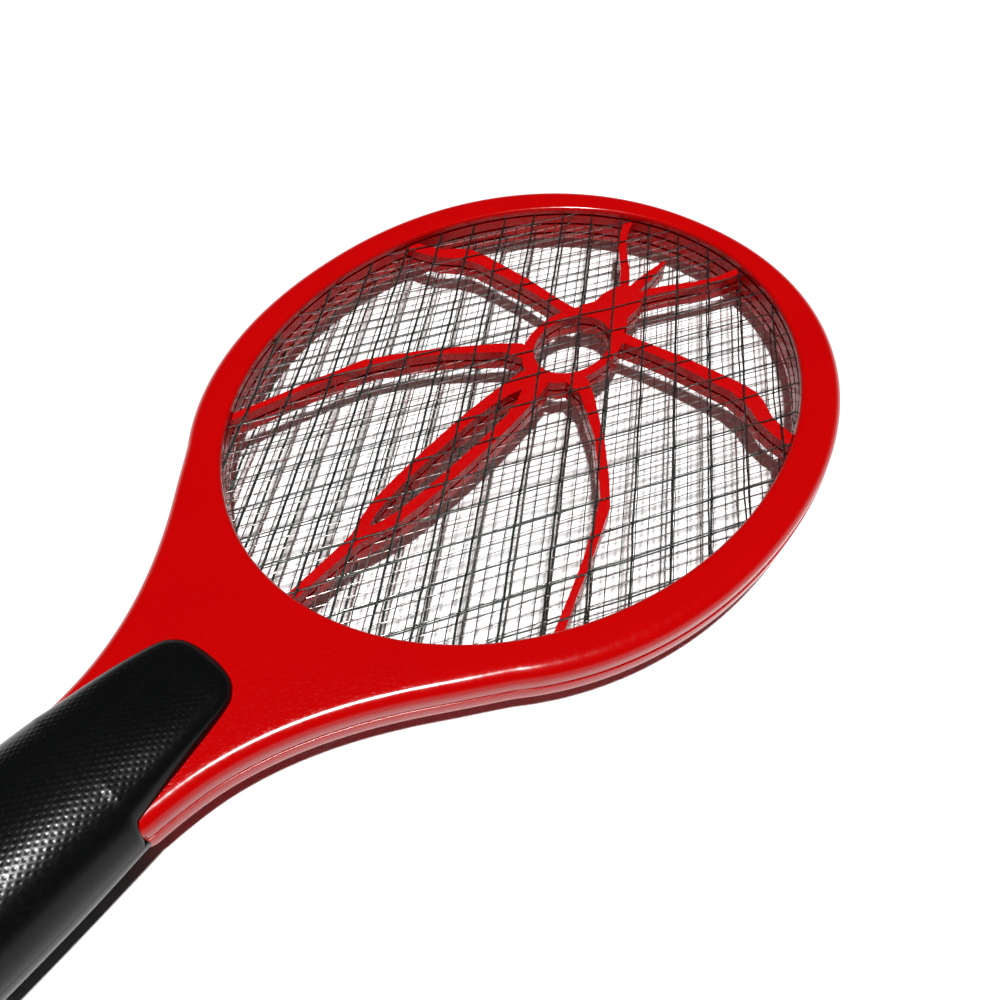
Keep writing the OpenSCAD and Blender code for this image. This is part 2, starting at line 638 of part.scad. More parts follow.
// ---------- battery bay ----------
module battery_tray() {
    color(black)
    difference() {
        union() {
            box([-tray_x, tray_x], tray_y, [tray_z, 14]);
            box([-11, 11], tray_y, [tray_z, 18.8]);
        }
        box([-15, 15], [tray_y[0] + 1, tray_y[1] - 1], [0, 14.1]);
        for (s = [-1, 1]) translate([s * cell_x, tray_y[0] + 1, cell_z])
            rotate([-90, 0, 0]) cylinder(d = cell_d + 0.2, h = tray_y[1] - tray_y[0] - 2, $fn = 64);
        box([-cell_x, cell_x], [tray_y[0] + 1, tray_y[1] - 1], [13, 17.7]);
        for (s = [-1, 1])
            translate([s * lead_x, tray_y[1] - 2, 12.6])
                rotate([-90, 0, 0]) cylinder(r = lead_r + 0.3, h = 3, $fn = 24);
    }
}
module battery_cells() {
    color("#b8863a")
    for (s = [-1, 1])
        translate([s * cell_x, (cells_y[0] + cells_y[1]) / 2, cell_z])
            rotate([s * 90, 0, 0]) {
                translate([0, 0, -cell_l / 2]) cylinder(d = cell_d - 0.1, h = cell_l - 1.2, $fn = 64);
                translate([0, 0, cell_l / 2 - 1.2 - eps]) cylinder(r = 2.7, h = 1.2, $fn = 32);
            }
}
// flat nickel plates at both ends; a conical spring stands on the minus side
module contact_plates() {
    color("#c8c8c4") {
        box([-13, 13], [tray_y[0] + 1.02, tray_y[0] + 1.32], [6.8, 13.8]);
        for (s = [-1, 1])
            box([s * cell_x - 5, s * cell_x + 5], [tray_y[1] - 1.32, tray_y[1] - 1.02], [6.8, 13.8]);
    }
}
function coil_point(t, l) = [(4.2 - 1.6 * t) * cos(t * 1260), l * t, (4.2 - 1.6 * t) * sin(t * 1260)];
module coil_spring(l, r, steps, sides) {
    loft([for (i = [0:steps]) let (t = i / steps, p = coil_point(t, l),
            out = [cos(t * 1260), 0, sin(t * 1260)])
        [for (k = [0:sides - 1]) let (a = k * 360 / sides) p + r * (out * cos(a) + [0, 1, 0] * sin(a))]]);
}
module contact_springs() {
    color("#c8c8c4") {
        translate([cell_x, tray_y[0] + 1.75, cell_z]) coil_spring(3.3, 0.35, 42, 6);
        translate([-cell_x, tray_y[1] - 1.72, cell_z]) rotate([0, 0, 180]) coil_spring(0.4, 0.12, 42, 6);
    }
}

// ---------- wiring ----------
// from the board through the neck to a clip at the grids
module grid_lead(s) {
    wire_path([[s * 3.2, -179.5, top_z + 0.8], [s * 3.2, -172, lead_z], [s * 3.2, -150, lead_z],
        [s * 5, -125, lead_z], [s * clip_x, -104, lead_z], [s * clip_x, -100.5, lead_z]], lead_r);
}
module outer_lead() {
    color("#b01818")
    grid_lead(1);
}
module centre_lead() {
    color("#1d1d1f")
    grid_lead(-1);
}
module battery_leads() {
    for (s = [-1, 1])
        color(s > 0 ? "#b01818" : "#1d1d1f")
            wire_path([[s * lead_x, tray_y[1] - 1, 12.6], [s * lead_x, -262, 12.6],
                [s * lead_x, -246, 12], [s * lead_x, -236.5, top_z + 0.7]], lead_r);
}
// bent strips that carry the high voltage from the leads to the grids: the outer one
// reaches over both coarse grids, the centre one lies under the fine grid
module grid_clips() {
    y0 = -open_half_l - rim_w + open_dy - 1.4;
    low = back_grid_z - gap;
    high = front_grid_z + coarse_wire + gap;
    outer_x = [clip_x - 1, clip_x + 1];
    color("#c8c8c4") {
        box(outer_x, [y0 - strip_t, y0], [low - strip_t, high + strip_t]);
        box(outer_x, [y0 - 3, y0 - eps], [contact_z - strip_t, contact_z]);
        box(outer_x, [y0 - eps, y0 + 3], [high, high + strip_t]);
        box(outer_x, [y0 - eps, y0 + 3], [low - strip_t, low]);
        box(-[outer_x[1], outer_x[0]], [y0 - 3, y0 + 4], [contact_z - strip_t, contact_z]);
    }
}

placed() front_frame();
placed() back_frame();
placed() front_grid();
placed() middle_grid();
placed() back_grid();
placed() front_spacer();
placed() back_spacer();
placed() frame_screws();
placed() front_grip();
placed() back_grip();
placed() grip_screws();
placed() battery_door();
placed() push_button();
placed() switch_body();
placed() switch_plunger();
placed() indicator_led();
placed() led_leads();
placed() circuit_board();
placed() transformer_core();
placed() transformer_coil();
placed() transistor();
placed() rectifier_diodes();
placed() film_capacitors();
placed() storage_capacitor();
placed() resistors();
placed() battery_tray();
placed() battery_cells();
placed() contact_springs();
placed() contact_plates();
placed() outer_lead();
placed() centre_lead();
placed() battery_leads();
placed() grid_clips();
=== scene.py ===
"""Looks of the electric fly swatter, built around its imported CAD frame.

Lengths are in millimetres in the shape functions and turn into metres when a mesh is made.
Shape functions measure y from the centre of the ring; HEAD_Y is that centre in the frame.
"""
import math
import random
from functools import lru_cache

import bpy
import numpy as np
from mathutils import Matrix, Vector

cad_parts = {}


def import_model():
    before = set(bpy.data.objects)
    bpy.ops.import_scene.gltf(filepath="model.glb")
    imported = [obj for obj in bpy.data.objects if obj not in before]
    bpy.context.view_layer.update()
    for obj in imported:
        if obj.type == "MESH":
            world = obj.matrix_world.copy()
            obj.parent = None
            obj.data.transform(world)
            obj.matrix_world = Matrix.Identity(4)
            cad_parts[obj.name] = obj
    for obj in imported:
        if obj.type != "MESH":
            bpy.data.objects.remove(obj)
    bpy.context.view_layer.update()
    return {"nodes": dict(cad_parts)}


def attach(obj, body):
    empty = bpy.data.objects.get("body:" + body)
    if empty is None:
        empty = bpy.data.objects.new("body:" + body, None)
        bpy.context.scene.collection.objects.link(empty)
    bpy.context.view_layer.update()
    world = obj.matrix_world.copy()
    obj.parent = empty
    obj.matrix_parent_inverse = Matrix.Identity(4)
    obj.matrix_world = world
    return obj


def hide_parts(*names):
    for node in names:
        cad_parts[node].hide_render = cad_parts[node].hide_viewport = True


MM = 0.001
HEAD_Y = 124.5

# head
RING_HALF = (85.8, 101.5)
RING_FULLNESS = 2.11
OPENING_HALF = (75.2, 93.0)
OPENING_DY = -1.2
BACK_Z, PART_Z, FRONT_Z = 4.0, 11.0, 17.0
SHELL_WALL, SIDE_WALL = 2.0, 2.4
EDGE_RUN = 4.2                     # how far the rounding of the outer edge reaches inwards
HOLE_RUN, HOLE_RISE = 1.3, 1.2     # rounding of the opening's edge
LEDGE_W, LEDGE_DROP = 2.2, 2.35    # ledge under the opening's edge that holds the grids
OUTLINE_POINTS = 760
NECK_END, CORNER_R = -155.0, 5.0
NECK = [(19.0, -162), (19.3, -150), (20.9, -138), (23.8, -128), (28.2, -118),
        (34.0, -108), (41.1, -98), (49.2, -88), (57.3, -78), (65.8, -68)]
NECK_JOIN_Y = -78

# handle, as (y, value) stations
DOME_Y, DOME_L = -334.5, 16.0
DOOR_Y = -254.0
GRIP_W = [(-334.5, 18.2), (-300, 19.3), (-260, 20.6), (-220, 21.0), (-180, 20.3),
          (-160, 19.6), (-150, 19.2)]
CROWN = [(-334.5, 23.6), (-300, 25.2), (-260, 26.4), (-220, 26.8), (-180, 26.2),
         (-165, 25.8), (-155, 25.2), (-145, 24.2), (-136, 22.9), (-128, 21.6),
         (-121.5, 20.4), (-118.6, 19.3), (-117.2, 18)]
BELLY = [(-334.5, 0), (-172, 0), (-163, 0.8), (-155, 2.6), (-149, 4)]
TONGUE = [(-158, 18.4), (-150, 17.0), (-144.8, 16.1), (-136.8, 14.8), (-126.8, 13.0),
          (-122, 11.7), (-120.2, 10.4), (-118.5, 8.3), (-117.6, 5.8), (-117.2, 3.2)]
TONGUE_BASE = 17.02
BUTTON_Y, BUTTON_SIZE = -199.0, (11.0, 18.0)
LED_Y, LED_R = -216.0, 1.5

BUTTON_SKIRT_Z = 21.0
GRIP_FULLNESS, BELLY_FULLNESS = 2.4, 2.6
TONGUE_FULLNESS = (3.2, 2.2)       # at the tip and where it runs into the grip
JOIN_GAP = 0.06                    # half of the seam between the two handle shells
GRIP_WALL = 2.2
BACK_TONGUE = [(-156, 17), (-148, 15), (-140, 13.2), (-134, 11), (-131.5, 8), (-131, 5.5)]

# knurl
KNURL_PITCH = (1.6, 2.1)
KNURL_DEPTH, PIT_RADIUS = 0.075, 0.34
KNURL_MARGIN, KNURL_HALF_W = 3.2, 13.6

# grids
HALF_CELL = (5.835, 9.815)         # half a cell of the coarse sheet
COARSE_PITCH, FINE_PITCH = 10.0, 3.35
GRID_REACH = 3.2                   # how far a sheet runs on behind the opening's edge

# screw wells in the back: angles round the ring, and places on the neck and the handle
SCREW_RIM = 6.4
RING_SCREWS = [27, 72, 117, -27, -72, -117]
NECK_SCREWS = [(27, -112), (-27, -112)]
GRIP_SCREWS = [(11.5, -169), (-11.5, -169), (0, -247)]


# ---------- small maths ----------
def spow(v, p):
    """Power that keeps the sign."""
    return math.copysign(abs(v) ** p, v)


def smoothstep(a, b, v):
    t = np.clip((v - a) / (b - a), 0, 1)
    return t * t * (3 - 2 * t)


def at(table, y):
    """Smooth value of a station table at y."""
    xs = [p[0] for p in table]
    i = max([k for k in range(len(table) - 1) if xs[k] <= y or k == 0])

    def slope(k):
        a, b = max(k - 1, 0), min(k + 1, len(table) - 1)
        return (table[b][1] - table[a][1]) / (table[b][0] - table[a][0])

    h = xs[i + 1] - xs[i]
    t = min(1.0, max(0.0, (y - xs[i]) / h))
    t2, t3 = t * t, t * t * t
    return ((2 * t3 - 3 * t2 + 1) * table[i][1] + (t3 - 2 * t2 + t) * h * slope(i)
            + (3 * t2 - 2 * t3) * table[i + 1][1] + (t3 - t2) * h * slope(i + 1))


def catmull(p, i, t):
    """Point between p[i] and p[i + 1] of a smooth line through the points of p."""
    a, b, c, d = (np.array(p[k], float) for k in (i - 1, i, i + 1, i + 2))
    return 0.5 * (2 * b + (c - a) * t + (2 * a - 5 * b + 4 * c - d) * t * t
                  + (3 * b - a - 3 * c + d) * t ** 3)


def resample(points, n):
    """n points, evenly spaced along a closed line."""
    p = np.array(points + points[:1], float)
    along = np.concatenate([[0], np.cumsum(np.linalg.norm(np.diff(p, axis=0), axis=1))])
    s = np.linspace(0, along[-1], n, endpoint=False)
    return np.stack([np.interp(s, along, p[:, k]) for k in (0, 1)], axis=1)


def ring_point(a):
    """Point of the ring's outline, a being the angle from its top."""
    return (RING_HALF[0] * spow(math.sin(a), 2 / RING_FULLNESS),
            RING_HALF[1] * spow(math.cos(a), 2 / RING_FULLNESS))


def head_outline(n):
    """Outline of the ring and the neck, anticlockwise from the middle of the neck's end."""
    right = [(x, NECK_END) for x in np.linspace(0, NECK[1][0] - CORNER_R, 12, endpoint=False)]
    corner_x, corner_y = NECK[1][0] - CORNER_R, NECK[1][1]
    for a in np.radians(np.linspace(0, 90, 24)):
        right.append((corner_x + CORNER_R * math.sin(a), corner_y - CORNER_R * math.cos(a)))
    for i in range(1, len(NECK) - 2):
        right += [tuple(catmull(NECK, i, t)) for t in np.linspace(0, 1, 12)[1:]]
    join = math.acos(-(-NECK_JOIN_Y / RING_HALF[1]) ** (RING_FULLNESS / 2))
    right += [ring_point(a) for a in np.linspace(join, 0, 400)[1:]]
    left = [(-x, y) for x, y in right[-2:0:-1]]
    return resample(right + left, n)


def inset(outline, d):
    """The outline moved inwards by d."""
    tangent = np.roll(outline, -1, axis=0) - np.roll(outline, 1, axis=0)
    normal = np.stack([tangent[:, 1], -tangent[:, 0]], axis=1)
    normal /= np.linalg.norm(normal, axis=1)[:, None]
    return outline - d * normal


def opening(outline, d):
    """The opening's ellipse, widened by d, at the directions of the outline's points."""
    a = np.arctan2(outline[:, 0] / OPENING_HALF[0],
                   (outline[:, 1] - OPENING_DY) / OPENING_HALF[1])
    return np.stack([(OPENING_HALF[0] + d) * np.sin(a),
                     (OPENING_HALF[1] + d) * np.cos(a) + OPENING_DY], axis=1)


def level(points, z):
    """Flat points at the height z."""
    return np.column_stack([points, np.full(len(points), z)])


# ---------- meshes ----------
def mesh_object(name, verts, faces, smooth_angle=35):
    """An object from points in millimetres, in the frame of the ring's centre."""
    v = np.array(verts, float).reshape(-1, 3)
    v[:, 1] += HEAD_Y
    mesh = bpy.data.meshes.new(name)
    mesh.from_pydata((v * MM).tolist(), [], faces)
    mesh.update()
    mesh.shade_smooth()
    mesh.set_sharp_from_angle(angle=math.radians(smooth_angle))
    obj = bpy.data.objects.new(name, mesh)
    bpy.context.collection.objects.link(obj)
    return obj


def quads(rows, cols, close_rows=False, close_cols=False):
    """Faces of a grid of points, joined along its columns and rows."""
    faces = []
    for j in range(rows if close_rows else rows - 1):
        for i in range(cols if close_cols else cols - 1):
            a, b = j * cols + i, j * cols + (i + 1) % cols
            k = (j + 1) % rows
            faces.append((a, b, k * cols + (i + 1) % cols, k * cols + i))
    return faces


def ring_object(name, loops):
    """A closed tube of loops, the last joined to the first."""
    return mesh_object(name, np.concatenate(loops), quads(len(loops), len(loops[0]), True, True))


def cylinder(name, x, y, r, z0, z1, n=48):
    turns = [2 * math.pi * i / n for i in range(n)]
    ring = [(x + r * math.cos(a), y + r * math.sin(a)) for a in turns]
    verts = [(*p, z0) for p in ring] + [(*p, z1) for p in ring]
    faces = [tuple(range(n))[::-1], tuple(range(n, 2 * n))]
    faces += [(i, (i + 1) % n, n + (i + 1) % n, n + i) for i in range(n)]
    return mesh_object(name, verts, faces)


def cut_wells(obj, places, radius, z0, z1):
    """Cuts upright round wells into a piece."""
    for k, (x, y) in enumerate(places):
        tool = cylinder(f"tool_{k}", x, y, radius, z0, z1)
        modifier = obj.modifiers.new("well", "BOOLEAN")
        modifier.operation, modifier.solver, modifier.object = "DIFFERENCE", "EXACT", tool
        bake(obj)
        bpy.data.objects.remove(tool)


def bake(obj):
    """Applies a piece's modifiers to its mesh."""
    graph = bpy.context.evaluated_depsgraph_get()
    mesh = bpy.data.meshes.new_from_object(obj.evaluated_get(graph))
    obj.modifiers.clear()
    obj.data = mesh


def piece(obj, material, body, *replaced, slot):
    """Paints a piece, lets it ride on its body and hides the CAD nodes it stands for."""
    obj.data.materials.clear()
    obj.data.materials.append(material)
    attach(obj, body)
    if replaced:
        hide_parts(*replaced)


# ---------- head shells ----------
def shell_loops(line, face, up, lip, edge_rise):
    """Section of a head shell, over its outer edge and its face and in to the ledge.

    face is the height of its flat, and up is 1 for the front shell and -1 for the back one;
    the side starts lip inside the outline, edge_rise short of the face.
    """
    loops = []
    for a in np.radians(np.linspace(0, 90, 12)):
        loops.append(level(inset(line, EDGE_RUN - (EDGE_RUN - lip) * math.cos(a)),
                           face - up * edge_rise * (1 - math.sin(a))))
    for a in np.radians(np.linspace(0, 90, 7)):
        loops.append(level(opening(line, HOLE_RUN * (1 - math.sin(a))),
                           face - up * HOLE_RISE * (1 - math.cos(a))))
    ledge_z, roof_z = face - up * LEDGE_DROP, face - up * SHELL_WALL
    return loops + [level(opening(line, 0), ledge_z), level(opening(line, LEDGE_W), ledge_z),
                    level(opening(line, LEDGE_W), roof_z), level(inset(line, SIDE_WALL), roof_z)]


def front_shell():
    line = head_outline(OUTLINE_POINTS)
    lip = 0.16
    seam = [(2.0, 0.0), (0.45, 0.0), (0.24, 0.08), (lip, 0.3)]
    loops = [level(inset(line, d), PART_Z + rise) for d, rise in seam]
    return ring_object("front_shell", loops + shell_loops(line, FRONT_Z, 1, lip, 3.2))


def back_shell():
    line = head_outline(OUTLINE_POINTS)
    seam_z, round_r = PART_Z - 0.12, 0.2
    loops = [level(inset(line, 2.0), seam_z), level(inset(line, 0.3), seam_z)]
    for a in np.radians(np.linspace(90, 0, 4)):
        loops.append(level(inset(line, round_r * (1 - math.cos(a))),
                           seam_z - round_r * (1 - math.sin(a))))
    loops += shell_loops(line, BACK_Z, -1, 0.3, 3.6)
    shell = ring_object("back_shell", [loop[::-1] for loop in loops])
    places = [((OPENING_HALF[0] + SCREW_RIM) * math.sin(a),
               (OPENING_HALF[1] + SCREW_RIM) * math.cos(a) + OPENING_DY)
              for a in np.radians(RING_SCREWS)]
    cut_wells(shell, places + NECK_SCREWS, 1.75, 2.0, 5.5)
    return shell


# ---------- grids ----------
def strand_path(start, end, side, bond, lay, rings):
    """One strand of expanded mesh between two bonds; side is the way it leaves its bond."""
    p0 = start + np.array([side * lay, 0, 0])
    p1 = start + np.array([side * lay, bond, 0])
    p2 = end + np.array([-side * lay, -bond, 0])
    p3 = end + np.array([-side * lay, 0, 0])
    pull = (p2 - p1) * 0.3 + np.array([0, bond, 0])
    path = [p0]
    for t in np.linspace(0, 1, rings):
        u = 1 - t
        path.append(u ** 3 * p1 + 3 * u * u * t * (p1 + pull)
                    + 3 * u * t * t * (p2 - pull) + t ** 3 * p2)
    return np.array(path + [p3])


def sweep(path, half, tilt, sides):
    """Points of a strand with an oval section, turned by tilt about its path."""
    tangent = np.gradient(path, axis=0)
    tangent /= np.linalg.norm(tangent, axis=1)[:, None]
    up = np.array([0, 0, 1.0])
    across = np.cross(tangent, up)
    across /= np.linalg.norm(across, axis=1)[:, None]
    over = np.cross(across, tangent)
    wide = across * math.cos(tilt) + over * math.sin(tilt)
    thin = over * math.cos(tilt) - across * math.sin(tilt)
    angles = np.linspace(0, 2 * math.pi, sides, endpoint=False)
    rings = [path + half[0] * math.cos(a) * wide + half[1] * math.sin(a) * thin for a in angles]
    return np.stack(rings, axis=1).reshape(-1, 3)


def expanded_grid(name, pitch, node_at, z, half, bond, tilt, sides, rings, wander, seed):
    """A sheet of expanded mesh: zigzag strands that meet side by side at short bonds."""
    rng = random.Random(seed)
    hx, hy = (c * pitch / COARSE_PITCH for c in HALF_CELL)
    reach = [h + GRID_REACH for h in OPENING_HALF]
    ni = int((reach[0] + abs(node_at[0])) / hx) + 2
    nj = int((reach[1] + abs(node_at[1])) / hy) + 2
    nodes = {}
    for i in range(-ni, ni + 1):
        for j in range(-nj, nj + 1):
            if (i + j) % 2 == 0:
                nodes[i, j] = np.array([node_at[0] + i * hx + rng.gauss(0, wander),
                                        node_at[1] + j * hy + rng.gauss(0, wander),
                                        z + rng.gauss(0, wander * 0.5)])
    verts, faces, count = [], [], 0
    for (i, j), start in nodes.items():
        for side in (-1, 1):
            end = nodes.get((i + side, j + 1))
            if end is None:
                continue
            path = strand_path(start, end, side, bond, half[0] * 0.45, rings)
            inside = ((path[:, 0] / reach[0]) ** 2
                      + ((path[:, 1] - OPENING_DY) / reach[1]) ** 2) < 1
            if inside.sum() < 3:
                continue
            first, last = np.argmax(inside), len(path) - np.argmax(inside[::-1]) - 1
            keep = path[first:last + 1]
            points = sweep(keep, half, side * tilt, sides)
            verts.append(points)
            faces += [tuple(v + count for v in f) for f in quads(len(keep), sides, False, True)]
            count += len(points)
    return mesh_object(name, np.concatenate(verts), faces, 60)


# ---------- handle ----------
def dome(y):
    """How full the section still is at y, 1 up to the rounded end."""
    return 1.0 if y >= DOME_Y else math.sqrt(max(0.0, 1 - ((DOME_Y - y) / DOME_L) ** 2))


def arch(y, w, base, h, fullness, turns):
    """A superelliptic arch across the handle, w to each side and h high."""
    c = np.sign(np.cos(turns)) * np.abs(np.cos(turns)) ** (2 / fullness)
    s = np.abs(np.sin(turns)) ** (2 / fullness)
    return np.column_stack([w * c, np.full(len(turns), y), base + h * s])


@lru_cache(maxsize=None)
def crown_turns(n, fullness):
    """Angles that spread an arch's points evenly across its top and down its sides."""
    fine = np.linspace(0, math.pi, 4001)
    p = arch(0, 1.0, 0, 0.7, fullness, fine)
    along = np.concatenate([[0], np.cumsum(np.linalg.norm(np.diff(p, axis=0), axis=1))])
    return np.interp(np.linspace(0, along[-1], n), along, fine)


def top_section(y, n):
    """Section of the upper handle: a narrow arch on the neck, a half oval behind it."""
    crown, width = at(CROWN, y), at(GRIP_W, y)
    turns = crown_turns(n, GRIP_FULLNESS)
    if y < DOME_Y:
        k = dome(y)
        return arch(y, width * k, PART_Z, (crown - PART_Z) * k, GRIP_FULLNESS, turns)
    tip, root = TONGUE_FULLNESS
    fullness = tip - (tip - root) * float(smoothstep(-128.0, -150.0, y))
    narrow = arch(y, at(TONGUE, y), TONGUE_BASE, crown - TONGUE_BASE, fullness,
                  crown_turns(n, fullness))
    base = PART_Z + JOIN_GAP
    wide = arch(y, width, base, crown - base, GRIP_FULLNESS, turns)
    blend = float(smoothstep(-150.6, -153.2, y))
    return narrow * (1 - blend) + wide * blend


def stadium(x, y, size):
    """Distance from the edge of an upright stadium, negative inside."""
    r = size[0] / 2
    reach = (size[1] - size[0]) / 2
    return np.hypot(x, y - np.clip(y, -reach, reach)) - r


def knurl(x, y):
    """Depth of the diamond pits, on the crown only and not round the button and the lamp."""
    u, v = x / KNURL_PITCH[0], y / KNURL_PITCH[1]
    du, dv = np.abs(u - np.round(u)), np.abs(v - np.round(v))
    eu, ev = np.abs(u - np.floor(u) - 0.5), np.abs(v - np.floor(v) - 0.5)
    nearest = np.minimum(du + dv, eu + ev)
    pit = np.clip(1 - nearest / PIT_RADIUS, 0, 1)
    width = np.interp(y, *zip(*TONGUE)) - KNURL_MARGIN
    width = np.minimum(width, KNURL_HALF_W)
    mask = 1 - smoothstep(-0.8, 0.8, np.abs(x) - width)
    mask *= smoothstep(-331.0, -328.0, y) * (1 - smoothstep(-120.5, -119.0, y))
    mask *= smoothstep(1.6, 2.2, stadium(x, y - BUTTON_Y, BUTTON_SIZE))
    mask *= smoothstep(1.2, 1.8, np.hypot(x, y - LED_Y) - LED_R)
    return KNURL_DEPTH * pit * mask


def wells(x, y):
    """Depth of the moats that set off the button and the lamp."""
    button = 1 - smoothstep(0.1, 0.5, stadium(x, y - BUTTON_Y, BUTTON_SIZE))
    lamp = 1 - smoothstep(0.05, 0.3, np.hypot(x, y - LED_Y) - LED_R)
    return 1.6 * button + 1.2 * lamp


def upper_grip(columns, step):
    """The upper handle's skin, with its pits and moats pressed in along the normals."""
    ys = list(np.arange(TONGUE[-1][0], DOME_Y, -step))
    ys += [DOME_Y - DOME_L * math.sin(a) for a in np.radians(np.linspace(0, 89, 40))]
    rows = np.array([top_section(y, columns) for y in ys])
    along_u = np.gradient(rows, axis=1)
    along_v = np.gradient(rows, axis=0)
    normal = np.cross(along_u, along_v)
    normal /= np.maximum(np.linalg.norm(normal, axis=2), 1e-9)[:, :, None]
    normal *= np.sign(normal[:, :, 2].mean())
    x, y = rows[:, :, 0], rows[:, :, 1]
    rows = rows - (knurl(x, y) + wells(x, y))[:, :, None] * normal
    nose = level(rows[0][:, :2], TONGUE_BASE)
    verts = np.concatenate([nose[None], rows])
    return mesh_object("upper_grip", verts, quads(len(verts), columns), 50)


def bottom_section(y, n, wall=0.0):
    """Section of the lower handle; wall is the distance inwards from its skin."""
    k = dome(y)
    belly = max(0.0, at(BELLY, y))
    turns = np.linspace(0, math.pi, n)
    c = np.sign(np.cos(turns)) * np.abs(np.cos(turns)) ** (2 / BELLY_FULLNESS)
    s = np.abs(np.sin(turns)) ** (2 / BELLY_FULLNESS)
    w, h = (at(GRIP_W, y) - wall) * k, (PART_Z - belly + 0.3 - wall) * k
    z = np.maximum(PART_Z - JOIN_GAP - h * s, belly + wall)
    return np.column_stack([-w * c, np.full(n, y), z])


def lower_shell(name, y0, y1, with_dome):
    """A lower handle shell with its wall, open towards the parting plane."""
    n = 97
    end_y = DOME_Y - DOME_L + GRIP_WALL
    ys = list(np.linspace(y0, y1, max(8, int(abs(y1 - y0) / 2))))
    if with_dome:
        ys += [y1 - DOME_L * math.sin(a) for a in np.radians(np.linspace(3, 88, 24))]
    loops = []
    for y in ys:
        inner = bottom_section(max(y, end_y + 0.4), n, GRIP_WALL)
        loops.append(np.concatenate([bottom_section(y, n), inner[::-1]]))
    faces = quads(len(loops), 2 * n, False, True)
    last = (len(loops) - 1) * 2 * n
    faces.append(tuple(range(2 * n))[::-1])
    faces.append(tuple(last + i for i in range(2 * n)))
    return mesh_object(name, np.concatenate(loops), faces, 40)


# ---------- materials ----------
def set_range(node, *limits):
    for key, value in zip(("From Min", "From Max", "To Min", "To Max"), limits):
        node.inputs[key].default_value = value


class Paint:
    """A principled material with object-space textures, wired step by step.

    Scales are per metre, and bump distances in metres.
    """

    def __init__(self, name, color, roughness, metallic=0.0, specular=0.5):
        self.mat = bpy.data.materials.new(name)
        self.mat.use_nodes = True
        self.tree = self.mat.node_tree
        self.shader = self.tree.nodes["Principled BSDF"]
        self.shader.inputs["Base Color"].default_value = (*color, 1)
        self.shader.inputs["Roughness"].default_value = roughness
        self.shader.inputs["Metallic"].default_value = metallic
        self.coord = self.tree.nodes.new("ShaderNodeTexCoord").outputs["Object"]
        self.shader.inputs["Specular IOR Level"].default_value = specular
        self.normal = None

    def node(self, kind, **values):
        n = self.tree.nodes.new(kind)
        for key, value in values.items():
            if key in n.inputs:
                n.inputs[key].default_value = value
            else:
                setattr(n, key, value)
        return n

    def link(self, a, b):
        self.tree.links.new(a, b)

    def noise(self, scale, detail=3.0, stretch=(1, 1, 1)):
        mapping = self.node("ShaderNodeMapping")
        mapping.inputs["Scale"].default_value = stretch
        self.link(self.coord, mapping.inputs["Vector"])
        n = self.node("ShaderNodeTexNoise")
        n.inputs["Scale"].default_value = scale
        n.inputs["Detail"].default_value = detail
        self.link(mapping.outputs["Vector"], n.inputs["Vector"])
        return n.outputs["Fac"]

    def cells(self, scale):
        """Distance to the nearest edge between random cells."""
        n = self.node("ShaderNodeTexVoronoi", feature="DISTANCE_TO_EDGE")
        n.inputs["Scale"].default_value = scale
        self.link(self.coord, n.inputs["Vector"])
        return n.outputs["Distance"]

    def axis(self, vector, name):
        n = self.node("ShaderNodeSeparateXYZ")
        self.link(vector, n.inputs["Vector"])
        return n.outputs[name]

    def remap(self, value, a, b, to_a, to_b):
        n = self.node("ShaderNodeMapRange")
        set_range(n, a, b, to_a, to_b)
        self.link(value, n.inputs["Value"])
        return n.outputs["Result"]

    def math(self, operation, a, b):
        n = self.node("ShaderNodeMath")
        n.operation = operation
        for socket, v in zip(n.inputs, (a, b)):
            if isinstance(v, (int, float)):
                socket.default_value = v
            else:
                self.link(v, socket)
        return n.outputs[0]

    def mix_color(self, fac, a, b):
        n = self.node("ShaderNodeMix", data_type="RGBA")
        self.link(fac, n.inputs["Factor"])
        n.inputs["A"].default_value = (*a, 1)
        n.inputs["B"].default_value = (*b, 1)
        self.link(n.outputs["Result"], self.shader.inputs["Base Color"])

    def rough(self, value, low, high):
        """Roughness that follows a noise, whose values lie round one half."""
        self.link(self.remap(value, 0.3, 0.7, low, high), self.shader.inputs["Roughness"])

    def bump(self, height, strength, distance):
        n = self.node("ShaderNodeBump")
        n.inputs["Distance"].default_value = distance
        if isinstance(strength, (int, float)):
            n.inputs["Strength"].default_value = strength
        else:
            self.link(strength, n.inputs["Strength"])
        self.link(height, n.inputs["Height"])
        if self.normal is not None:
            self.link(self.normal, n.inputs["Normal"])
        self.normal = n.outputs["Normal"]
        self.link(self.normal, self.shader.inputs["Normal"])


def red_shell_plastic():
    """Glossy red moulding; the neck's faces carry a pebbled leather grain."""
    p = Paint("red_shell", (0.37, 0.0006, 0.0008), 0.17, specular=0.3)
    p.mix_color(p.noise(45, 2), (0.35, 0.0004, 0.0006), (0.39, 0.0008, 0.001))
    on_neck = p.remap(p.axis(p.coord, "Y"), 0.046, 0.030, 0.0, 1.0)
    facing = p.axis(p.node("ShaderNodeNewGeometry").outputs["Normal"], "Z")
    flat = p.remap(p.math("ABSOLUTE", facing, 0.0), 0.97, 0.999, 0.0, 1.0)
    grain_mask = p.math("MULTIPLY", on_neck, flat)
    p.rough(p.noise(700, 2), 0.13, 0.2)
    pebbles = p.remap(p.cells(820), 0.0, 0.28, 0.0, 1.0)
    p.bump(pebbles, p.math("MULTIPLY", grain_mask, 0.4), 0.00012)
    p.bump(p.noise(2600, 2), 0.03, 0.00005)
    return p.mat


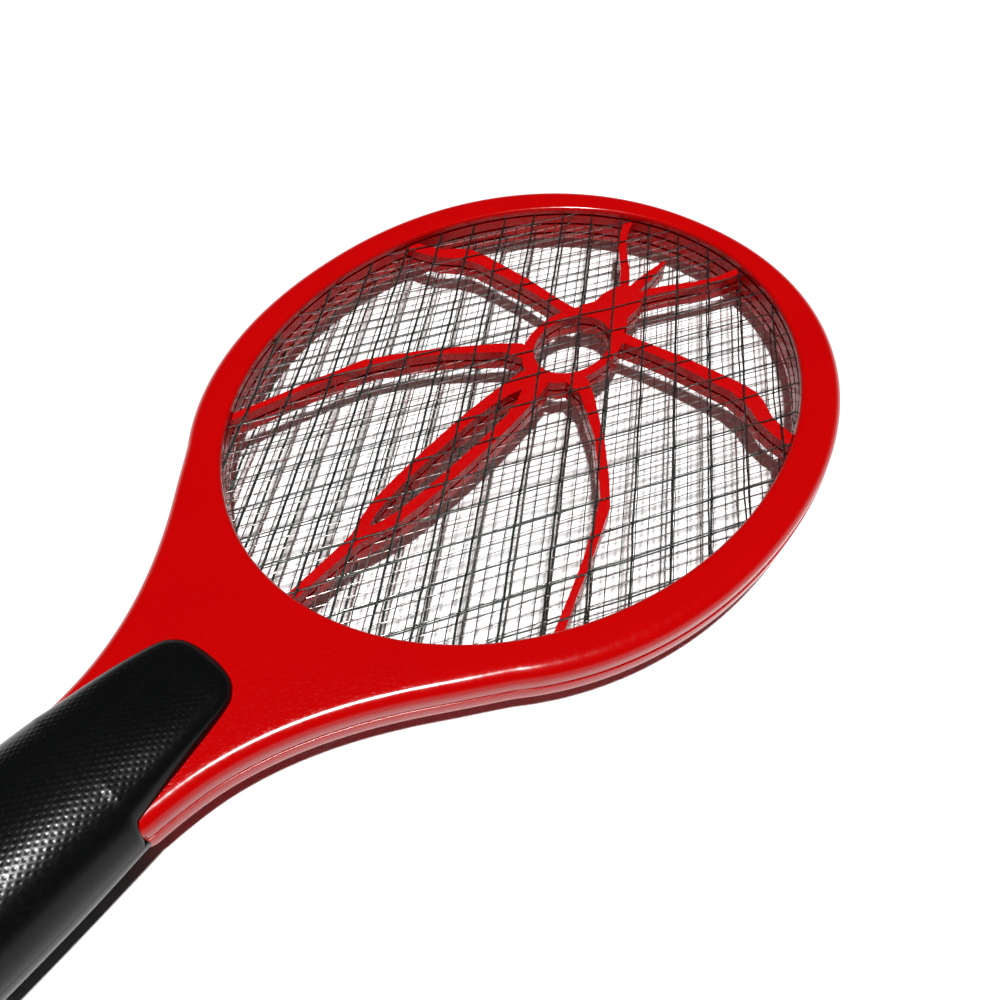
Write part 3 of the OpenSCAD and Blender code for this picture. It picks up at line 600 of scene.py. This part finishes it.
def red_rib_plastic():
    p = Paint("red_rib", (0.38, 0.001, 0.0015), 0.3, specular=0.22)
    p.mix_color(p.noise(90, 2), (0.35, 0.0008, 0.0012), (0.41, 0.0013, 0.0018))
    p.rough(p.noise(500), 0.22, 0.36)
    p.bump(p.noise(1500, 3), 0.08, 0.0001)
    return p.mat


def black_grip_plastic():
    p = Paint("black_grip", (0.0022, 0.0023, 0.0024), 0.3, specular=0.18)
    p.mix_color(p.noise(60, 3), (0.0018, 0.0019, 0.002), (0.003, 0.0031, 0.0032))
    p.rough(p.noise(900, 2), 0.21, 0.3)
    p.bump(p.noise(3000, 2), 0.1, 0.00005)
    return p.mat


def strand_metal(name, color, roughness):
    p = Paint(name, color, roughness, 1.0)
    dark = tuple(c * 0.62 for c in color)
    p.mix_color(p.noise(420, 3), dark, color)
    p.rough(p.noise(900, 3), roughness - 0.08, roughness + 0.12)
    p.bump(p.noise(2600, 2), 0.15, 0.00006)
    return p.mat


def moulded(name, color, roughness, scale=400, amount=0.08):
    p = Paint(name, color, roughness)
    p.mix_color(p.noise(scale * 0.2, 2), tuple(c * 0.82 for c in color), color)
    p.rough(p.noise(scale, 3), roughness - 0.06, roughness + 0.08)
    p.bump(p.noise(scale * 4, 2), amount, 0.00006)
    return p.mat


def plated(name, color, roughness):
    p = Paint(name, color, roughness, 1.0)
    p.mix_color(p.noise(300, 4), tuple(c * 0.8 for c in color), color)
    p.rough(p.noise(1200, 2, (1, 1, 8)), roughness - 0.08, roughness + 0.1)
    p.bump(p.noise(1800, 2, (6, 1, 1)), 0.08, 0.00004)
    return p.mat


def wound_copper():
    p = Paint("copper_winding", (0.62, 0.25, 0.09), 0.3, 1.0)
    wave = p.node("ShaderNodeTexWave", wave_type="BANDS", bands_direction="Z")
    wave.inputs["Scale"].default_value = 900
    wave.inputs["Distortion"].default_value = 0.6
    p.link(p.coord, wave.inputs["Vector"])
    # The bands darken towards the grooves between the turns, where the bump is low: this is painted
    # shade.
    p.mix_color(wave.outputs["Fac"], (0.32, 0.1, 0.03), (0.72, 0.32, 0.12))
    p.bump(wave.outputs["Fac"], 0.6, 0.00015)
    return p.mat


def cell_sleeve():
    """Shrink sleeve of a dry cell: dark with a copper-coloured band towards one end."""
    p = Paint("cell_sleeve", (0.02, 0.02, 0.022), 0.25)
    band = p.math("GREATER_THAN", p.axis(p.coord, "Y"), -0.157)
    p.mix_color(band, (0.018, 0.018, 0.02), (0.5, 0.24, 0.08))
    p.rough(p.noise(600), 0.2, 0.32)
    p.bump(p.noise(300, 2), 0.05, 0.0001)
    return p.mat


def board_green():
    p = Paint("board_green", (0.02, 0.12, 0.045), 0.35)
    traces = p.node("ShaderNodeTexBrick")
    traces.inputs["Scale"].default_value = 260
    traces.inputs["Mortar Size"].default_value = 0.05
    p.link(p.coord, traces.inputs["Vector"])
    p.mix_color(traces.outputs["Fac"], (0.015, 0.1, 0.035), (0.05, 0.2, 0.07))
    p.rough(p.noise(800), 0.28, 0.42)
    p.bump(traces.outputs["Fac"], 0.25, 0.00005)
    return p.mat


def lamp_resin():
    p = Paint("lamp_resin", (0.7, 0.03, 0.02), 0.12)
    p.mix_color(p.noise(500), (0.6, 0.02, 0.015), (0.8, 0.05, 0.03))
    p.shader.inputs["Transmission Weight"].default_value = 0.4
    p.bump(p.noise(900), 0.03, 0.00005)
    return p.mat


def table_top():
    p = Paint("table_top", (0.9, 0.9, 0.9), 0.55)
    p.mix_color(p.noise(6, 2), (0.9, 0.9, 0.9), (0.92, 0.92, 0.92))
    return p.mat


# ---------- scene ----------
def overhead_light(toward, spread, strength):
    """A distant round light; toward points from the object to the light."""
    data = bpy.data.lights.new("key", "SUN")
    data.angle, data.energy = spread, strength
    obj = bpy.data.objects.new("key", data)
    obj.rotation_euler = (-Vector(toward)).to_track_quat("-Z", "Y").to_euler()
    bpy.context.collection.objects.link(obj)


def camera():
    place, target = Vector((0.1133, -0.0339, 0.2025)), Vector((0.0191, 0.0885, 0.0105))
    roll = 1.05
    data = bpy.data.cameras.new("camera")
    data.lens, data.sensor_width, data.clip_start = 33.1, 36.0, 0.01
    obj = bpy.data.objects.new("camera", data)
    aim = (target - place).to_track_quat("-Z", "Y").to_matrix()
    obj.matrix_world = Matrix.Translation(place) @ (
        aim @ Matrix.Rotation(math.radians(roll), 3, "Z")).to_4x4()
    bpy.context.collection.objects.link(obj)
    bpy.context.scene.camera = obj


def pale_horizon(tree):
    """White low round the horizon, nearly dark overhead, so that flat tops reflect nothing."""
    coord = tree.nodes.new("ShaderNodeTexCoord")
    split = tree.nodes.new("ShaderNodeSeparateXYZ")
    fade = tree.nodes.new("ShaderNodeMapRange")
    fade.interpolation_type = "SMOOTHSTEP"
    set_range(fade, 0.06, 0.32, 0.4, 0.01)
    tree.links.new(coord.outputs["Generated"], split.inputs["Vector"])
    tree.links.new(split.outputs["Z"], fade.inputs["Value"])
    tree.links.new(fade.outputs["Result"], tree.nodes["Background"].inputs["Strength"])
    tree.nodes["Background"].inputs["Color"].default_value = (1, 1, 1, 1)


def studio():
    overhead_light((0.14, -0.11, 1.0), 0.085, 5.2)
    floor = bpy.data.meshes.new("floor")
    r, below = 30.0, 0.0002
    floor.from_pydata([(-r, -r, 0), (r, -r, 0), (r, r, 0), (-r, r, 0)], [], [(0, 1, 2, 3)])
    table = bpy.data.objects.new("floor", floor)
    table.location.z = -below
    floor.materials.append(table_top())
    bpy.context.collection.objects.link(table)
    world = bpy.data.worlds.new("world")
    world.use_nodes = True
    pale_horizon(world.node_tree)
    bpy.context.scene.world = world
    bpy.context.scene.view_settings.view_transform = "Standard"


def paint_nodes(nodes, materials):
    """Gives every carried-over CAD node its material."""
    for name, obj in nodes.items():
        material = materials.get(name)
        if material is None or obj.hide_render:
            continue
        obj.data.materials.clear()
        obj.data.materials.append(material)
        obj.data.shade_smooth()
        obj.data.set_sharp_from_angle(angle=math.radians(35))


def soften(obj, width):
    """Rounds a CAD node's sharp edges with a modifier."""
    bevel = obj.modifiers.new("soft_edges", "BEVEL")
    bevel.width, bevel.segments, bevel.limit_method = width * MM, 3, "ANGLE"
    bevel.angle_limit = math.radians(50)


def button_cap():
    """Crowned oval cap: a stadium that rises from its skirt to a soft dome."""
    turns = np.linspace(0, 2 * math.pi, 96, endpoint=False)
    r, reach = BUTTON_SIZE[0] / 2, (BUTTON_SIZE[1] - BUTTON_SIZE[0]) / 2
    crown = at(CROWN, BUTTON_Y)

    def loop(shrink, z):
        x = (r - shrink) * np.cos(turns)
        y = (r - shrink) * np.sin(turns) + reach * np.sign(np.sin(turns))
        return np.column_stack([x, y + BUTTON_Y, np.full(len(turns), z)])

    profile = [(0.0, BUTTON_SKIRT_Z), (0.0, crown - 0.2), (0.05, crown + 0.25), (0.25, crown + 0.6),
               (0.6, crown + 0.85), (1.2, crown + 0.98), (2.2, crown + 1.04), (3.6, crown + 0.98),
               (4.6, crown + 0.93), (5.2, crown + 0.92)]
    loops = [loop(s, z) for s, z in profile]
    n = len(turns)
    faces = quads(len(loops), n, False, True)
    faces.append(tuple((len(loops) - 1) * n + i for i in range(n)))
    faces.append(tuple(range(n))[::-1])
    return mesh_object("button_cap", np.concatenate(loops), faces, 50)


def tongue_underside():
    """Black tongue that lies on the neck's back."""
    columns, fullness = 61, TONGUE_FULLNESS[0]
    root_y, tip_y = BACK_TONGUE[0][0], BACK_TONGUE[-1][0]
    rows = []
    for y in np.linspace(tip_y, root_y, 60):
        depth = min(1.6, 0.9 + (tip_y - y) * 0.1)
        x, across, rise = arch(y, at(BACK_TONGUE, y), 0, 1, fullness,
                               crown_turns(columns, fullness)).T
        rows.append(np.column_stack([-x, across, BACK_Z - 0.02 - depth * rise]))
    rows = np.array(rows)
    nose = level(rows[0][:, :2], BACK_Z)
    verts = np.concatenate([nose[None], rows])
    return mesh_object("back_tongue", verts, quads(len(verts), columns), 50)


# ---------- assembly ----------
def build_head(red):
    piece(front_shell(), red, "racket", "front_frame", slot="red_plastic")
    piece(back_shell(), red, "racket", "back_frame", slot="red_plastic")
    coarse = strand_metal("coarse_strands", (0.2, 0.235, 0.215), 0.3)
    coarse_shape = {"half": (0.36, 0.17), "bond": 0.3, "tilt": 0.6, "sides": 8, "rings": 8,
                    "wander": 0.1}
    front = expanded_grid("front_mesh", COARSE_PITCH, node_at=(0.0, 45.7), z=14.22, seed=5,
                          **coarse_shape)
    piece(front, coarse, "racket", "front_grid", slot="grid_wire")
    back = expanded_grid("back_mesh", COARSE_PITCH, node_at=(3.4, 41.5), z=6.8, seed=8,
                         **coarse_shape)
    piece(back, coarse, "racket", "back_grid", slot="grid_wire")
    fine = expanded_grid("fine_mesh", FINE_PITCH, node_at=(0.5, 0.8), z=10.5, seed=11,
                         half=(0.17, 0.12), bond=0.1, tilt=0.5, sides=6, rings=4, wander=0.06)
    piece(fine, strand_metal("fine_strands", (0.62, 0.58, 0.55), 0.26), "racket",
          "middle_grid", slot="fine_wire")


def build_handle(black):
    piece(upper_grip(columns=220, step=0.2), black, "racket", "front_grip", slot="black_plastic")
    lower = lower_shell("lower_grip", -152, DOOR_Y + 0.1, with_dome=False)
    cut_wells(lower, GRIP_SCREWS, 2.5, -1, 3.2)
    piece(lower, black, "racket", "back_grip", slot="black_plastic")
    piece(tongue_underside(), black, "racket", slot="black_plastic")
    door = lower_shell("door_cover", DOOR_Y - 0.1, DOME_Y, with_dome=True)
    piece(door, black, "door", "battery_door", slot="black_plastic")
    piece(button_cap(), moulded("button_red", (0.45, 0.004, 0.006), 0.3), "button",
          "push_button", slot="red_plastic")


def small_part_materials():
    """Materials of the carried-over CAD nodes."""
    rib = red_rib_plastic()
    zinc = plated("zinc", (0.55, 0.56, 0.58), 0.3)
    tin = plated("tinned", (0.7, 0.69, 0.66), 0.28)
    dark = moulded("dark_moulding", (0.02, 0.02, 0.022), 0.42)
    capacitor = moulded("capacitor_dip", (0.3, 0.07, 0.03), 0.3)
    return {
        "front_spacer": rib,
        "back_spacer": rib,
        "frame_screws": zinc,
        "grip_screws": zinc,
        "switch_body": dark,
        "switch_plunger": moulded("plunger_white", (0.7, 0.7, 0.66), 0.4),
        "indicator_led": lamp_resin(),
        "led_leads": tin,
        "circuit_board": board_green(),
        "transformer_core": moulded("ferrite", (0.05, 0.05, 0.055), 0.6, 900, 0.3),
        "transformer_coil": wound_copper(),
        "transistor": dark,
        "rectifier_diodes": dark,
        "film_capacitors": capacitor,
        "storage_capacitor": capacitor,
        "resistors": moulded("resistor_body", (0.55, 0.43, 0.26), 0.4),
        "battery_tray": dark,
        "battery_cells": cell_sleeve(),
        "contact_springs": tin,
        "contact_plates": tin,
        "outer_lead": moulded("red_insulation", (0.5, 0.01, 0.01), 0.35),
        "centre_lead": moulded("black_insulation", (0.015, 0.015, 0.015), 0.35),
        "battery_leads": moulded("red_lead", (0.5, 0.01, 0.01), 0.35),
        "grid_clips": tin,
    }


def main():
    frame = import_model()
    camera()
    studio()
    build_head(red_shell_plastic())
    build_handle(black_grip_plastic())
    for name in ("front_spacer", "back_spacer"):
        soften(frame["nodes"][name], 0.35)
    paint_nodes(frame["nodes"], small_part_materials())


main()
